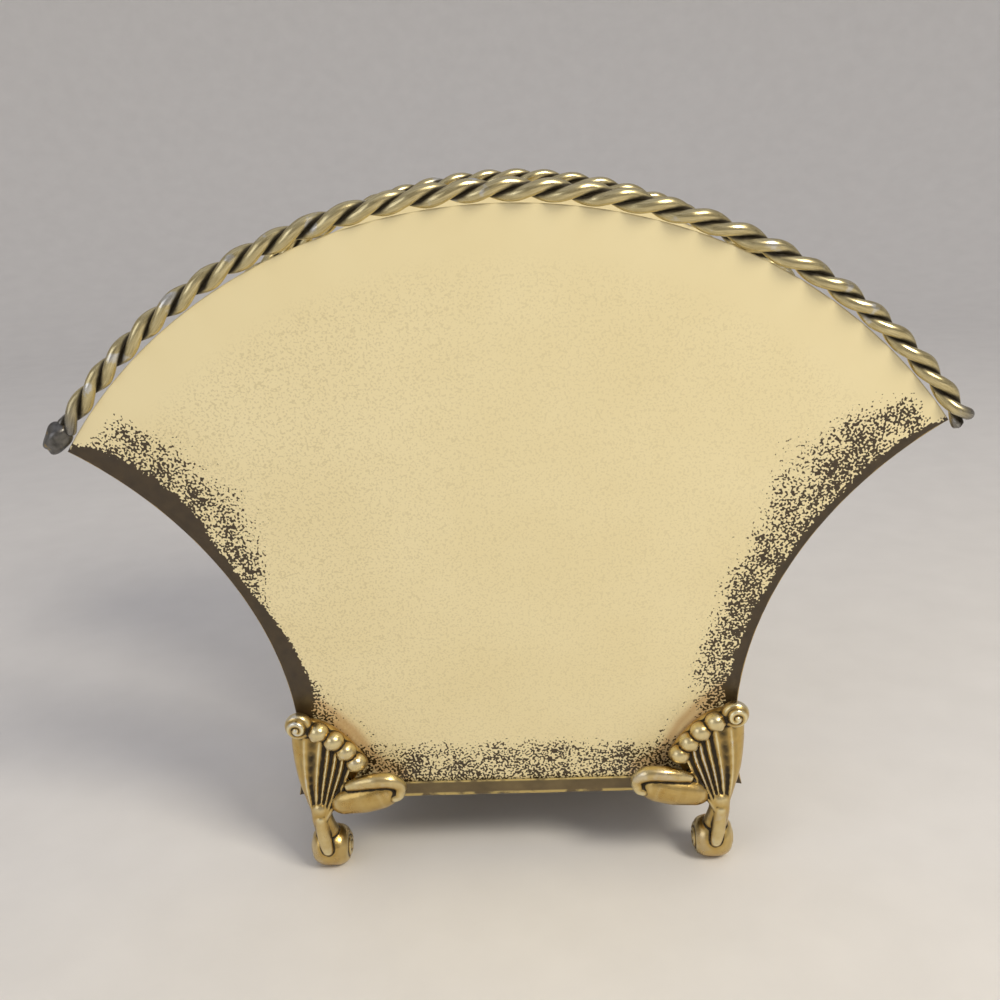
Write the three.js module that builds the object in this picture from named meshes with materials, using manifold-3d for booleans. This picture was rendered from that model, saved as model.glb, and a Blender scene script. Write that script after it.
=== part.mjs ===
// A footed, fan-shaped napkin holder in painted tinplate. Millimetres, +Z up.
// The origin is on the ground under the middle of the floor. X runs across the fan,
// and the decorated front faces -Y. Nothing on it moves.
//
// Two fan panels lean away from each other and stand in the lips of a folded floor tray.
// A rope of two twisted wires runs along the arched top edge of each panel, with a bead
// of solder at one end, and a cast leaf-and-scroll foot is fixed over each lower corner.

import * as THREE from 'three';
import { mergeVertices } from 'three/addons/utils/BufferGeometryUtils.js';
import Module from 'manifold-3d';

const wasm = await Module();
wasm.setup();

// ---- Driving dimensions ----

// Sheet metal body
const SHEET = 0.6;             // thickness of the tinplate
const PANEL_LEAN = 8;          // degrees that each panel leans outward
const FLOOR_DEPTH = 50;        // between the outer faces of the two panels, at the floor
const FLOOR_HEIGHT = 17.5;     // from the ground to the panels' lower edges
const FIT_GAP = 0.3;           // clearance between pieces that are soldered together
const LIP_HEIGHT = 3.4;        // the tray's turned-up lip, measured up the panel
const TRAY_INSET = 3.2;        // from each end of the panels' lower edges in to the tray's end

// Fan outline, in the panel's own plane
const BOTTOM_WIDTH = 101.4;    // lower edge
const TIP_WIDTH = 172;         // between the two tips
const TIP_RISE = 87.4;         // from the lower edge up to the tips
const CROWN_RISE = 44.6;       // from the tips up to the crown of the top arc
const SIDE_BOW = 14.9;         // how far each side curves in from its straight chord
const ARC_STEPS = 28;          // straight steps along the top arc
const SIDE_STEPS = 10;         // straight steps along each side

// Twisted wire rope
const WIRE_DIAMETER = 1.95;
const LAY_LENGTH = 14.6;       // length of one full twist
const STEPS_PER_TWIST = 8;
const WIRE_SIDES = 6;
const WIRE_TAIL = 2.8;         // cut ends of the wires, past the right tip
const BEAD_LENGTH = 7.4;       // solder bead over the left end, along the rope
const BEAD_WIDTH = 5.2;
const BEAD_REACH = 2.2;        // how far the bead goes past the left tip

// Cast foot
const FOOT_INSET = 7.7;        // from the end of the panel's lower edge in to the foot's own origin
const LEAF_THICKNESS = 8.4;
const LEAF_WIDTH = 7.4;
// Places on the casting: x runs from the foot's origin toward the middle of the holder, up is
// above the panel's lower edge, depth is how far the middle stands in front of the leaning panel,
// and forward is how far it stands in front of the panel's lower edge.
const TOE = { x: -1.0, forward: 0.8, z: 4.7, size: [10.4, 10.0, 10.4] };
const NECK = { x: -2.2, forward: 3.4, up: -2.9, size: 4.8 };
const KNOBS = [
  { x: -4.7, up: 21.4, depth: 3.2, size: 6.4 },
  { x: -0.4, up: 19.9, depth: 2.6, size: 5.2 },
  { x: 2.6, up: 17.5, depth: 2.6, size: 5.0 },
  { x: 5.0, up: 14.7, depth: 2.7, size: 4.9 },
  { x: 7.0, up: 11.7, depth: 2.8, size: 4.8 },
];
const SCROLL = { x: 10.2, up: 2.9, depth: 4.0, size: [12.6, 8.6, 8.6], tilt: 14 };
const SCROLL_STEM = { x: 4.0, up: 1.1, depth: 2.4, size: [13.5, 7.6, 6.6], tilt: 18 };

// ---- Materials ----

const paint = () => new THREE.MeshStandardMaterial({ color: 0xe9dcb4, roughness: 0.45, metalness: 0.1 });
const gilt = () => new THREE.MeshStandardMaterial({ color: 0x8c7a3a, roughness: 0.35, metalness: 0.9 });
const pewter = () => new THREE.MeshStandardMaterial({ color: 0x6a675c, roughness: 0.45, metalness: 0.8 });
const cast = () => new THREE.MeshStandardMaterial({ color: 0x9a7f33, roughness: 0.4, metalness: 0.9 });

// ---- Shared placing ----

const lean = THREE.MathUtils.degToRad(PANEL_LEAN);

// The panel frame: x across, y up the panel, z out of its decorated face.
const panelFrame = new THREE.Matrix4()
  .makeRotationX(Math.PI / 2 + lean)
  .setPosition(0, -FLOOR_DEPTH / 2, FLOOR_HEIGHT);

// How far forward (toward -Y) the panel's face is at a height above the ground.
function faceY(z) {
  return -FLOOR_DEPTH / 2 - (z - FLOOR_HEIGHT) * Math.tan(lean);
}

// Centre and radius of an arc on the chord from a to b that bows by `bow` to its left.
function arcThrough(a, b, bow) {
  const chord = b.clone().sub(a);
  const half = chord.length() / 2;
  const radius = (half * half + bow * bow) / (2 * bow);
  const left = new THREE.Vector2(-chord.y, chord.x).normalize();
  const centre = a.clone().add(b).multiplyScalar(0.5).addScaledVector(left, bow - radius);
  return { centre, radius };
}

const tipRight = new THREE.Vector2(TIP_WIDTH / 2, TIP_RISE);
const tipLeft = new THREE.Vector2(-TIP_WIDTH / 2, TIP_RISE);
const bottomRight = new THREE.Vector2(BOTTOM_WIDTH / 2, 0);
const crown = arcThrough(tipLeft, tipRight, CROWN_RISE);
const crownAngle = Math.atan2(tipRight.x, tipRight.y - crown.centre.y);

// ---- Manifold helpers ----

function toSolid(geometry) {
  const bare = geometry.clone();
  bare.deleteAttribute('normal');
  bare.deleteAttribute('uv');
  const merged = mergeVertices(bare, 1e-4);
  return new wasm.Manifold(new wasm.Mesh({
    numProp: 3,
    vertProperties: new Float32Array(merged.attributes.position.array),
    triVerts: new Uint32Array(merged.index.array),
  }));
}

function toGeometry(solid) {
  const { vertProperties, triVerts } = solid.getMesh();
  const geometry = new THREE.BufferGeometry();
  geometry.setAttribute('position', new THREE.BufferAttribute(new Float32Array(vertProperties), 3));
  geometry.setIndex(new THREE.BufferAttribute(new Uint32Array(triVerts), 1));
  geometry.computeVertexNormals();
  return geometry;
}

// ---- Sheet metal ----

function panelGeometry() {
  const sideRight = arcThrough(bottomRight, tipRight, SIDE_BOW);
  const angleOf = (point) => Math.atan2(point.y - sideRight.centre.y, point.x - sideRight.centre.x);
  const from = angleOf(bottomRight);
  let sweep = angleOf(tipRight) - from;
  if (sweep > Math.PI) sweep -= 2 * Math.PI;
  if (sweep < -Math.PI) sweep += 2 * Math.PI;

  const right = [];
  for (let i = 0; i < SIDE_STEPS; i += 1) {
    const angle = from + sweep * i / SIDE_STEPS;
    right.push(new THREE.Vector2(
      sideRight.centre.x + sideRight.radius * Math.cos(angle),
      sideRight.centre.y + sideRight.radius * Math.sin(angle),
    ));
  }
  const top = [];
  for (let i = 0; i <= ARC_STEPS; i += 1) {
    const angle = crownAngle * (1 - 2 * i / ARC_STEPS);
    top.push(new THREE.Vector2(
      crown.radius * Math.sin(angle),
      crown.centre.y + crown.radius * Math.cos(angle),
    ));
  }
  const left = right.map((point) => new THREE.Vector2(-point.x, point.y)).reverse();
  const outline = new THREE.Shape([...right, ...top, ...left]);
  const sheet = new THREE.ExtrudeGeometry(outline, { depth: SHEET, bevelEnabled: false });
  return sheet.translate(0, 0, -SHEET);
}

// The floor tray: its section is made from the [y, z] corners of one half, round the lip.
function floorTrayGeometry() {
  const place = (up, out) => [
    FLOOR_DEPTH / 2 + out * Math.cos(lean) + up * Math.sin(lean),
    FLOOR_HEIGHT - out * Math.sin(lean) + up * Math.cos(lean),
  ];
  const inner = place(-FIT_GAP, FIT_GAP);
  const outerOut = FIT_GAP + SHEET;
  const underside = inner[1] - SHEET;
  const outerUp = (underside - FLOOR_HEIGHT + outerOut * Math.sin(lean)) / Math.cos(lean);
  const half = [inner, place(LIP_HEIGHT, FIT_GAP), place(LIP_HEIGHT, outerOut), place(outerUp, outerOut)];
  const section = [
    ...half.map(([y, z]) => new THREE.Vector2(y, z)),
    ...half.map(([y, z]) => new THREE.Vector2(-y, z)).reverse(),
  ];
  const outline = new THREE.Shape(section);
  const length = BOTTOM_WIDTH - 2 * TRAY_INSET;
  const tray = new THREE.ExtrudeGeometry(outline, { depth: length, bevelEnabled: false });
  // The section's x and y become Y and Z, and the extrusion runs along X.
  return tray
    .translate(0, 0, -length / 2)
    .applyMatrix4(new THREE.Matrix4().set(0, 0, 1, 0, 1, 0, 0, 0, 0, 1, 0, 0, 0, 0, 0, 1));
}

// ---- Twisted wire rope ----

const wireSpacing = WIRE_DIAMETER + FIT_GAP;
const ropeRadius = (wireSpacing + WIRE_DIAMETER) / 2;
const ropeArcRadius = crown.radius + FIT_GAP + ropeRadius;
const beadArcRadius = crown.radius + FIT_GAP + BEAD_WIDTH / 2;

// Angles on the crown's arc, from its middle toward +X.
const beadAngle = -crownAngle - (BEAD_REACH - BEAD_LENGTH / 2) / beadArcRadius;
const ropeFrom = beadAngle + (BEAD_LENGTH / 2 + FIT_GAP) / ropeArcRadius;
const ropeTo = crownAngle + WIRE_TAIL / ropeArcRadius;
const ropeTwists = (ropeTo - ropeFrom) * ropeArcRadius / LAY_LENGTH;

// One wire of the rope, in the panel frame: a left-hand helix wound on the crown's arc.
class WireCurve extends THREE.Curve {
  constructor(startPhase) {
    super();
    this.startPhase = startPhase;
    this.arcLengthDivisions = 3000;
  }

  getPoint(t, target = new THREE.Vector3()) {
    const angle = ropeFrom + (ropeTo - ropeFrom) * t;
    const phase = this.startPhase - 2 * Math.PI * ropeTwists * t;
    const radius = ropeArcRadius + wireSpacing / 2 * Math.cos(phase);
    return target.set(
      radius * Math.sin(angle),
      crown.centre.y + radius * Math.cos(angle),
      wireSpacing / 2 * Math.sin(phase) - SHEET / 2,
    );
  }
}

function wireGeometry(startPhase) {
  const section = new THREE.Shape();
  for (let i = 0; i < WIRE_SIDES; i += 1) {
    const angle = 2 * Math.PI * i / WIRE_SIDES;
    const point = [WIRE_DIAMETER / 2 * Math.cos(angle), WIRE_DIAMETER / 2 * Math.sin(angle)];
    if (i === 0) section.moveTo(...point);
    else section.lineTo(...point);
  }
  section.closePath();
  return new THREE.ExtrudeGeometry(section, {
    steps: Math.round(ropeTwists * STEPS_PER_TWIST),
    extrudePath: new WireCurve(startPhase),
    bevelEnabled: false,
  });
}

// The bead lies where the rope's left end would be, turned to the arc.
function beadGeometry() {
  const bead = new THREE.SphereGeometry(0.5, 12, 8);
  bead.scale(BEAD_LENGTH, BEAD_WIDTH, BEAD_WIDTH);
  bead.rotateZ(-beadAngle);
  return bead.translate(
    beadArcRadius * Math.sin(beadAngle),
    crown.centre.y + beadArcRadius * Math.cos(beadAngle),
    -SHEET / 2,
  );
}

// ---- Cast feet ----

const footX = BOTTOM_WIDTH / 2 - FOOT_INSET;
const soleY = -FLOOR_DEPTH / 2 - TOE.forward;
const neckY = -FLOOR_DEPTH / 2 - NECK.forward;
const neckZ = FLOOR_HEIGHT + NECK.up;

// An egg-shaped lump of the casting. `inward` is +1 on a left foot and -1 on a right one.
function lump(inward, { x, y, z, size, tilt = 0 }, segments = 6) {
  const [width, depth, height] = size;
  const egg = new THREE.SphereGeometry(0.5, segments, Math.round(segments * 0.75));
  egg.rotateX(Math.PI / 2);
  egg.scale(width, depth, height);
  egg.rotateY(-THREE.MathUtils.degToRad(tilt) * inward);
  egg.translate(inward * (x - footX), y, z);
  return toSolid(egg);
}

// The same, placed by its height above the panel's lower edge and its depth in front of it.
function lumpOnPanel(inward, { up, depth, ...rest }, segments) {
  const z = FLOOR_HEIGHT + up;
  return lump(inward, { ...rest, y: faceY(z) - depth, z }, segments);
}

// A leaf rib: a long lump from the neck up to one knob.
function leafRib(inward, knob) {
  const rise = knob.up - NECK.up;
  const run = knob.x - NECK.x;
  return lumpOnPanel(inward, {
    x: NECK.x + run / 2,
    up: NECK.up + rise / 2,
    depth: 0,
    size: [LEAF_WIDTH, LEAF_THICKNESS, Math.hypot(rise, run) + NECK.size],
    tilt: -THREE.MathUtils.radToDeg(Math.atan2(run, rise)),
  });
}

// What the foot has to keep clear of: the panel's face, the tray's lip and the ground.
function keepOut() {
  const reach = 3 * BOTTOM_WIDTH;
  const panel = new THREE.BoxGeometry(reach, reach, reach).translate(0, 0, FIT_GAP - reach / 2);
  const lipTop = LIP_HEIGHT + FIT_GAP;
  const lipBottom = -SHEET - 2 * FIT_GAP;
  const lipFace = 2 * FIT_GAP + SHEET;
  const lip = new THREE.BoxGeometry(reach, lipTop - lipBottom, reach)
    .translate(0, (lipTop + lipBottom) / 2, lipFace - reach / 2);
  const ground = new THREE.BoxGeometry(reach, reach, reach).translate(0, 0, -reach / 2);
  return [toSolid(panel.applyMatrix4(panelFrame)), toSolid(lip.applyMatrix4(panelFrame)), toSolid(ground)];
}

function footGeometry(inward) {
  const ankle = {
    x: (TOE.x + NECK.x) / 2,
    y: (soleY + neckY) / 2,
    z: (neckZ + TOE.z) / 2,
    size: [NECK.size, NECK.size + soleY - neckY, neckZ],
  };
  const lumps = [
    lump(inward, { ...TOE, y: soleY }, 12),
    lump(inward, ankle),
    lumpOnPanel(inward, SCROLL, 10),
    lumpOnPanel(inward, SCROLL_STEM),
  ];
  for (const knob of KNOBS) {
    lumps.push(leafRib(inward, knob));
    lumps.push(lumpOnPanel(inward, { ...knob, size: [knob.size, knob.size, knob.size] }, 7));
  }
  let foot = lumps.reduce((whole, next) => whole.add(next));
  for (const clearance of keepOut()) foot = foot.subtract(clearance);
  return toGeometry(foot);
}

// ---- Assembly ----

function named(name, geometry, material) {
  const mesh = new THREE.Mesh(geometry, material);
  mesh.name = name;
  return mesh;
}

// One half of the holder, facing -Y. `leftSide` and `rightSide` name its feet as seen
// from the front of the whole holder.
function half(name, leftSide, rightSide) {
  const panelGroup = new THREE.Group();
  panelGroup.applyMatrix4(panelFrame);
  panelGroup.add(
    named(`${name}_panel`, panelGeometry(), paint()),
    named(`${name}_wire_a`, wireGeometry(0), gilt()),
    named(`${name}_wire_b`, wireGeometry(Math.PI), gilt()),
    named(`${name}_solder_bead`, beadGeometry(), pewter()),
  );
  const group = new THREE.Group();
  group.add(
    panelGroup,
    named(`${name}_${leftSide}_foot`, footGeometry(1), cast()),
    named(`${name}_${rightSide}_foot`, footGeometry(-1), cast()),
  );
  return group;
}

const holder = new THREE.Group();
const front = half('front', 'left', 'right');
const rear = half('rear', 'right', 'left');
rear.rotation.z = Math.PI;
holder.add(front, rear, named('floor_tray', floorTrayGeometry(), paint()));

export default holder;
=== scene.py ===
# %% [markdown]
# # A footed napkin holder in painted tin
# Two fan-shaped tin panels lean apart on a shallow tray. Each has a twisted wire along its crown, and
# four gilt cast feet are soldered over the lower corners. The painted flowers on the real front panel
# are not made here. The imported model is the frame: places and sizes come from it, and the new pieces
# carry the looks.

import bpy
import numpy as np
from mathutils import Matrix, Vector


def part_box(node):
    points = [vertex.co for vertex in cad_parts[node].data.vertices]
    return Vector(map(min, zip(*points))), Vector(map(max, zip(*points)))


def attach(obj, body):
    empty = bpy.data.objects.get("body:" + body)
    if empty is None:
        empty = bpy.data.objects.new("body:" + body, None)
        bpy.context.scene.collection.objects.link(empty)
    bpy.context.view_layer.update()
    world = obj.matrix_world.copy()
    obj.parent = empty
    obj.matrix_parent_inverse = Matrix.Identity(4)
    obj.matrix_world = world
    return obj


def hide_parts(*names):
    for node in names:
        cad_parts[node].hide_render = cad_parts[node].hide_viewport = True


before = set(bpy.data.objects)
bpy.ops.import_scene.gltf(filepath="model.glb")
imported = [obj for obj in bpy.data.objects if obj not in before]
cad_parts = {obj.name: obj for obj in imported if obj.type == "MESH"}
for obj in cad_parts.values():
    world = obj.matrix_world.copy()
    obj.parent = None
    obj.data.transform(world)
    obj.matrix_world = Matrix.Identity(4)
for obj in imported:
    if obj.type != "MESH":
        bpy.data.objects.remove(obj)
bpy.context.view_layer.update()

MM = 0.001

# %% [markdown]
# ## The panel's own axes
# A tin panel is cut flat and then leaned, so its outline, its paint and its wire are all easiest to lay
# out on the flat sheet: x across, v up the sheet and w out of its face. One function then leans a whole
# array of such points into place. The rear panel is the same sheet turned half round the upright axis.

# %% Leaning points into place
LEAN = np.radians(8.0)
SHEET = 0.6
tray_low, tray_high = (np.array(corner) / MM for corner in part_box("floor_tray"))
panel_low, panel_high = (np.array(corner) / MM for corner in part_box("front_panel"))
HINGE_Y = panel_high[1] - SHEET * np.cos(LEAN)
HINGE_Z = panel_low[2]
HALF_BASE = 50.7  # half of the panel's lower edge; the tray is a little shorter than it
HALF_TRAY = (tray_high[0] - tray_low[0]) / 2
HALF_TIPS = (panel_high[0] - panel_low[0]) / 2
PANEL_TALL = (panel_high[2] - HINGE_Z - SHEET * np.sin(LEAN)) / np.cos(LEAN)


def lean(points, facing):
    """Sheet points (x, v, w) in the row frame: y falls by w cos + v sin, z rises by v cos - w sin.

    facing is 1 for the front panel, and -1 turns the result half round the upright axis."""
    x, v, w = np.moveaxis(np.asarray(points, float), -1, 0)
    y = HINGE_Y - w * np.cos(LEAN) - v * np.sin(LEAN)
    z = HINGE_Z - w * np.sin(LEAN) + v * np.cos(LEAN)
    return np.stack([facing * x, facing * y, z], -1)


print("sheet:", round(2 * HALF_TIPS, 1), "mm across the tips,", round(PANEL_TALL, 1), "mm tall")

# %% [markdown]
# ## Small helpers
# Colours are given as sRGB hex values, but light adds up linearly, so one function converts them.
# One function puts arrays of points and faces into a piece, and one adds a shader node with its links.

# %% Colours
def linear(colour):
    """sRGB to linear light: c / 12.92 for a dark channel, else ((c + 0.055) / 1.055) to the power 2.4."""
    if isinstance(colour, str):
        colour = [int(colour[at:at + 2], 16) / 255 for at in (0, 2, 4)]
    colour = np.asarray(colour, float)
    light = np.where(colour <= 0.04045, colour / 12.92, ((colour + 0.055) / 1.055) ** 2.4)
    return np.concatenate([light, np.ones(light.shape[:-1] + (1,))], -1)


# %% Meshes from arrays
def grid_faces(rows, columns, wrap=False, first=0):
    """Quads between neighbouring rows and columns of a grid; wrap joins each row's end to its start."""
    i, j = np.meshgrid(np.arange(rows - 1), np.arange(columns if wrap else columns - 1), indexing="ij")
    after = (j + 1) % columns
    corners = [i * columns + j, i * columns + after, (i + 1) * columns + after, (i + 1) * columns + j]
    return np.stack(corners, -1).reshape(-1, 4) + first


def make_mesh(name, points, faces, values=None):
    """A smooth mesh from points in mm; faces lists arrays of quads or triangles, values is {name: array}."""
    mesh = bpy.data.meshes.new(name)
    mesh.vertices.add(len(points))
    mesh.vertices.foreach_set("co", (np.asarray(points) * MM).ravel())
    sizes = np.concatenate([np.full(len(group), group.shape[1]) for group in faces])
    mesh.loops.add(int(sizes.sum()))
    mesh.loops.foreach_set("vertex_index", np.concatenate([group.ravel() for group in faces]))
    mesh.polygons.add(len(sizes))
    mesh.polygons.foreach_set("loop_start", np.cumsum(sizes) - sizes)
    mesh.update(calc_edges=True)
    mesh.validate()
    mesh.shade_smooth()
    for label, value in (values or {}).items():
        kind, field = {1: ("FLOAT", "value"), 3: ("FLOAT_VECTOR", "vector"), 4: ("FLOAT_COLOR", "color")}[
            1 if value.ndim == 1 else value.shape[1]]
        mesh.attributes.new(label, kind, "POINT").data.foreach_set(field, value.ravel())
    return mesh


def make_piece(mesh, material, stands_for=()):
    """The mesh as a piece that rides on the body root, with its finish; the CAD nodes it stands for are
    hidden.
    """
    piece = bpy.data.objects.new(mesh.name, mesh)
    bpy.context.scene.collection.objects.link(piece)
    mesh.materials.append(material)
    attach(piece, "root")
    if stands_for:
        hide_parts(*stands_for)
    print(piece.name, len(mesh.polygons), "faces")
    return piece


# %% Nodes
def add(tree, kind, inputs=None, **fields):
    """One shader node. fields are its settings, inputs its sockets' values or what feeds them."""
    node = tree.nodes.new("ShaderNode" + kind)
    for field, value in fields.items():
        setattr(node, field, value)
    for socket, value in (inputs or {}).items():
        if isinstance(value, bpy.types.NodeSocket):
            tree.links.new(value, node.inputs[socket])
        else:
            node.inputs[socket].default_value = value
    return node


def new_material(name):
    """An empty material, its tree, and its output's surface socket."""
    material = bpy.data.materials.new(name)
    material.use_nodes = True
    tree = material.node_tree
    tree.nodes.clear()
    surface = tree.nodes.new("ShaderNodeOutputMaterial").inputs["Surface"]
    return material, tree, surface


def blend_colours(tree, share, low, high):
    """The colour output of a Mix node from low to high."""
    return add(tree, "Mix", {0: share, 6: low, 7: high}, data_type="RGBA", clamp_factor=True).outputs[2]


# %% [markdown]
# ## Camera
# The holder stands a little below eye height and is seen from just over a hand's reach away, slightly from
# the right. The camera is built from a place and three turns, and the lens is a normal one.

# %% Camera
CAMERA_PLACE = Vector((6.34, -245.27, 156.98)) * MM
CAMERA_YAW, CAMERA_PITCH, CAMERA_ROLL = -0.0352, 0.3069, 0.045
LENS, SENSOR = 39.6, 36.0


def aim(yaw, pitch, roll):
    """Right, up and forward as unit vectors: forward turned by yaw, then down by pitch, the rest by roll."""
    level = Vector((np.sin(yaw), np.cos(yaw), 0))
    right = Vector((np.cos(yaw), -np.sin(yaw), 0))
    forward = level * np.cos(pitch) - Vector((0, 0, np.sin(pitch)))
    down = -level * np.sin(pitch) - Vector((0, 0, np.cos(pitch)))
    return right * np.cos(roll) + down * np.sin(roll), right * np.sin(roll) - down * np.cos(roll), forward


camera = bpy.data.objects.new("camera", bpy.data.cameras.new("camera"))
bpy.context.scene.collection.objects.link(camera)
bpy.context.scene.camera = camera
camera.data.lens, camera.data.sensor_width = LENS, SENSOR
right, up, forward = aim(CAMERA_YAW, CAMERA_PITCH, CAMERA_ROLL)
turn = Matrix((right, up, -forward)).transposed()
camera.matrix_world = Matrix.Translation(CAMERA_PLACE) @ turn.to_4x4()
print("camera at", [round(c, 3) for c in CAMERA_PLACE])

# %% [markdown]
# ## Stage and light
# A product photographer would stand this on a pale sweep: a floor that curves up into a wall, so that no
# horizon cuts behind the object. Here the sweep goes all the way round, so every side has the same quiet
# background. One large soft key comes from the upper right of the front, and a weaker one opens the left.

# %% Stage
SWEEP_FLAT, SWEEP_BEND, SWEEP_WALL = 800.0, 500.0, 1500.0


def turned(radii, heights, steps):
    """A surface of revolution: each (radius, height) of the profile goes round a full circle."""
    angle = np.linspace(0, 2 * np.pi, steps, endpoint=False)
    ring = np.stack([np.cos(angle), np.sin(angle), np.zeros(steps)], -1)
    rise = np.array([0, 0, 1.0])
    points = np.asarray(radii)[:, None, None] * ring + np.asarray(heights)[:, None, None] * rise
    return points.reshape(-1, 3)


bend = np.linspace(0, np.pi / 2, 24)
sweep_radii = np.r_[np.linspace(20, SWEEP_FLAT, 12), SWEEP_FLAT + SWEEP_BEND * np.sin(bend[1:])]
sweep_heights = np.r_[np.zeros(12), SWEEP_BEND * (1 - np.cos(bend[1:]))]
sweep_radii = np.r_[sweep_radii, sweep_radii[-1]]
sweep_heights = np.r_[sweep_heights, SWEEP_WALL]
SWEEP_STEPS = 96
sweep_points = np.vstack([turned(sweep_radii, sweep_heights, SWEEP_STEPS), [[0, 0, 0]]])
hub = np.arange(SWEEP_STEPS)
hub_faces = np.stack([hub, (hub + 1) % SWEEP_STEPS, np.full(SWEEP_STEPS, len(sweep_points) - 1)], -1)
sweep_faces = grid_faces(len(sweep_radii), SWEEP_STEPS, wrap=True)[:, ::-1]

paper, tree, surface = new_material("pale_paper_sweep")
paper_place = add(tree, "TexCoord").outputs["Object"]
paper_tooth = add(tree, "TexNoise", {"Vector": paper_place, "Scale": 60.0, "Detail": 4.0}).outputs["Fac"]
paper_tint = blend_colours(tree, paper_tooth, linear("dcdad6"), linear("e6e4e0"))
paper_shader = add(tree, "BsdfPrincipled", {"Base Color": paper_tint, "Roughness": 0.9})
tree.links.new(paper_shader.outputs[0], surface)

sweep = bpy.data.objects.new("sweep", make_mesh("sweep", sweep_points, [sweep_faces, hub_faces]))
sweep.data.materials.append(paper)
bpy.context.scene.collection.objects.link(sweep)

# %% Light
world = bpy.data.worlds.new("studio")
bpy.context.scene.world = world
world.use_nodes = True
world.node_tree.nodes["Background"].inputs["Color"].default_value = linear("f4f4ff")
world.node_tree.nodes["Background"].inputs["Strength"].default_value = 0.6


def soft_light(name, place, aim_at, size, power, tint):
    """A square area light at place, in mm, turned so that its face looks at aim_at."""
    lamp = bpy.data.lights.new(name, "AREA")
    lamp.size, lamp.energy, lamp.color = size * MM, power, linear(tint)[:3]
    holder = bpy.data.objects.new(name, lamp)
    holder.location = Vector(place) * MM
    holder.rotation_euler = (Vector(aim_at) - Vector(place)).to_track_quat("-Z", "Y").to_euler()
    bpy.context.scene.collection.objects.link(holder)


soft_light("key", (420, -420, 620), (0, 0, 80), 260, 4.2, "fff6e6")
soft_light("fill", (-600, -500, 350), (0, 0, 80), 500, 1.0, "eef2ff")
bpy.context.scene.view_settings.view_transform = "Standard"
print("sweep and two lights")

# %% [markdown]
# ## The sheet's shape
# Each panel is a fan: a straight lower edge, two sides that bow inwards as arcs, and a crown that is one arc
# between the tips. Four edges like these bound a Coons patch, which fills them with a smooth grid: blend the
# lower edge into the crown, then add what each side still misses. A plain grid of squares would leave steps
# along the curved edges.

# %% Outline
TIP_RISE = 87.4
SIDE_BOW = 14.9
crown_rise = PANEL_TALL - TIP_RISE
crown_radius = (HALF_TIPS**2 + crown_rise**2) / (2 * crown_rise)
crown_centre = PANEL_TALL - crown_radius
crown_angle = np.arcsin(HALF_TIPS / crown_radius)
side_base = np.array([HALF_BASE, 0.0])
side_chord = np.array([HALF_TIPS, TIP_RISE]) - side_base
chord_length = np.hypot(*side_chord)
side_radius = ((chord_length / 2) ** 2 + SIDE_BOW**2) / (2 * SIDE_BOW)
outwards = np.array([side_chord[1], -side_chord[0]]) / chord_length
side_centre = side_base + side_chord / 2 + outwards * (side_radius - SIDE_BOW)


def side_x(v):
    """From the middle to the side edge at height v: the side arc's centre less its half chord there."""
    return side_centre[0] - np.sqrt(side_radius**2 - (v - side_centre[1]) ** 2)


def side_gap(x, v):
    """Distance in from the nearer side edge, in mm: distance to the side arc's centre less its radius."""
    return np.hypot(np.abs(x) - side_centre[0], v - side_centre[1]) - side_radius


def crown_gap(x, v):
    """Distance down from the crown, in mm: the crown's radius less the distance to its centre."""
    return crown_radius - np.hypot(x, v - crown_centre)


print("crown radius", round(crown_radius, 1), "side radius", round(side_radius, 1))

# %% Relief
HEM = 0.22


def sheet_relief(x, v):
    """How far the face stands proud of flat: a long shallow swell, and a thin hem along the two sides."""
    swell = 0.10 * np.sin(x / 21.0 + 0.6) * np.sin(v / 26.0 + 1.1)
    return swell * np.clip(side_gap(x, v) / 8, 0, 1) + HEM * np.exp(-((side_gap(x, v) / 0.8) ** 2))


# %% Panel surface
def panel_points(columns=150, rows=110):
    """Grid of (x, v) from a Coons patch, with columns crowded towards the sides where the hem bends."""
    across = np.linspace(-1, 1, columns)
    s = (0.72 * across + 0.28 * np.sin(across * np.pi / 2))[None, :, None]
    t = np.linspace(0, 1, rows)[:, None, None]
    point = lambda x, v: np.concatenate(np.broadcast_arrays(x, v), -1)
    base = point(HALF_BASE * s, 0 * s)
    angle = s * crown_angle
    crown = point(crown_radius * np.sin(angle), crown_centre + crown_radius * np.cos(angle))
    edge = point(side_x(TIP_RISE * t), TIP_RISE * t)
    straight = point(HALF_BASE + (HALF_TIPS - HALF_BASE) * t, TIP_RISE * t)
    missing = edge - straight
    share = (s + 1) / 2
    flip = np.array([-1.0, 1.0])
    return (1 - t) * base + t * crown + (1 - share) * missing * flip + share * missing


def ring_of(grid):
    """The grid's outer points in order: along the first row, up the last column, back, and down the first."""
    return np.concatenate([grid[0, :-1], grid[:-1, -1], grid[-1, :0:-1], grid[:0:-1, 0]])


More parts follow.
